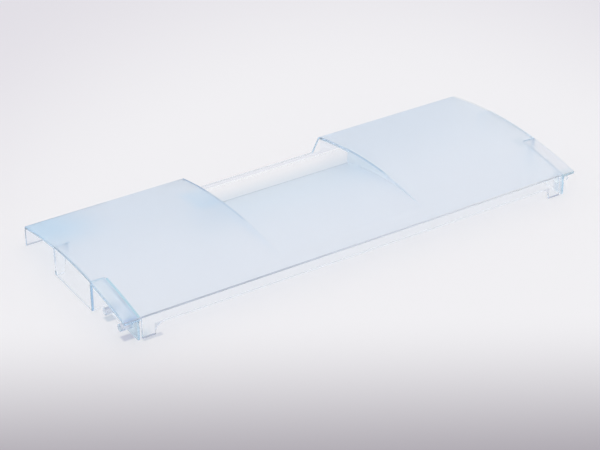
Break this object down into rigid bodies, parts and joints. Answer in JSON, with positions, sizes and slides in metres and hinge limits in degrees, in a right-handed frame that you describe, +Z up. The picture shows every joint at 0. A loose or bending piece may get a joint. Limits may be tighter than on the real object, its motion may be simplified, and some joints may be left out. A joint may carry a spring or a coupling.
{
  "type": "freezer compartment flap",
  "caption": "Long arched flap of clear pale-blue plastic with a frosted panel, a scooped grip with a finger slot, skirts along its edges and hinge pins at its ends.",
  "frame": {"origin": "middle of the flap's length and depth, on the plane that its feet, end plates and grip skirt stand on", "axes": "+X along the flap, +Y from the hinge edge to the grip edge, +Z up out of the arched face"},
  "size_m": [0.47, 0.1864, 0.03],
  "materials": {
    "clear_polystyrene": "pale-blue transparent polystyrene, moulded: fine frosted grain on the panel's outer face, polished walls, strips and pins"
  },
  "bodies": {
    "root": {"flap": "clear_polystyrene"}
  },
  "joints": []
}
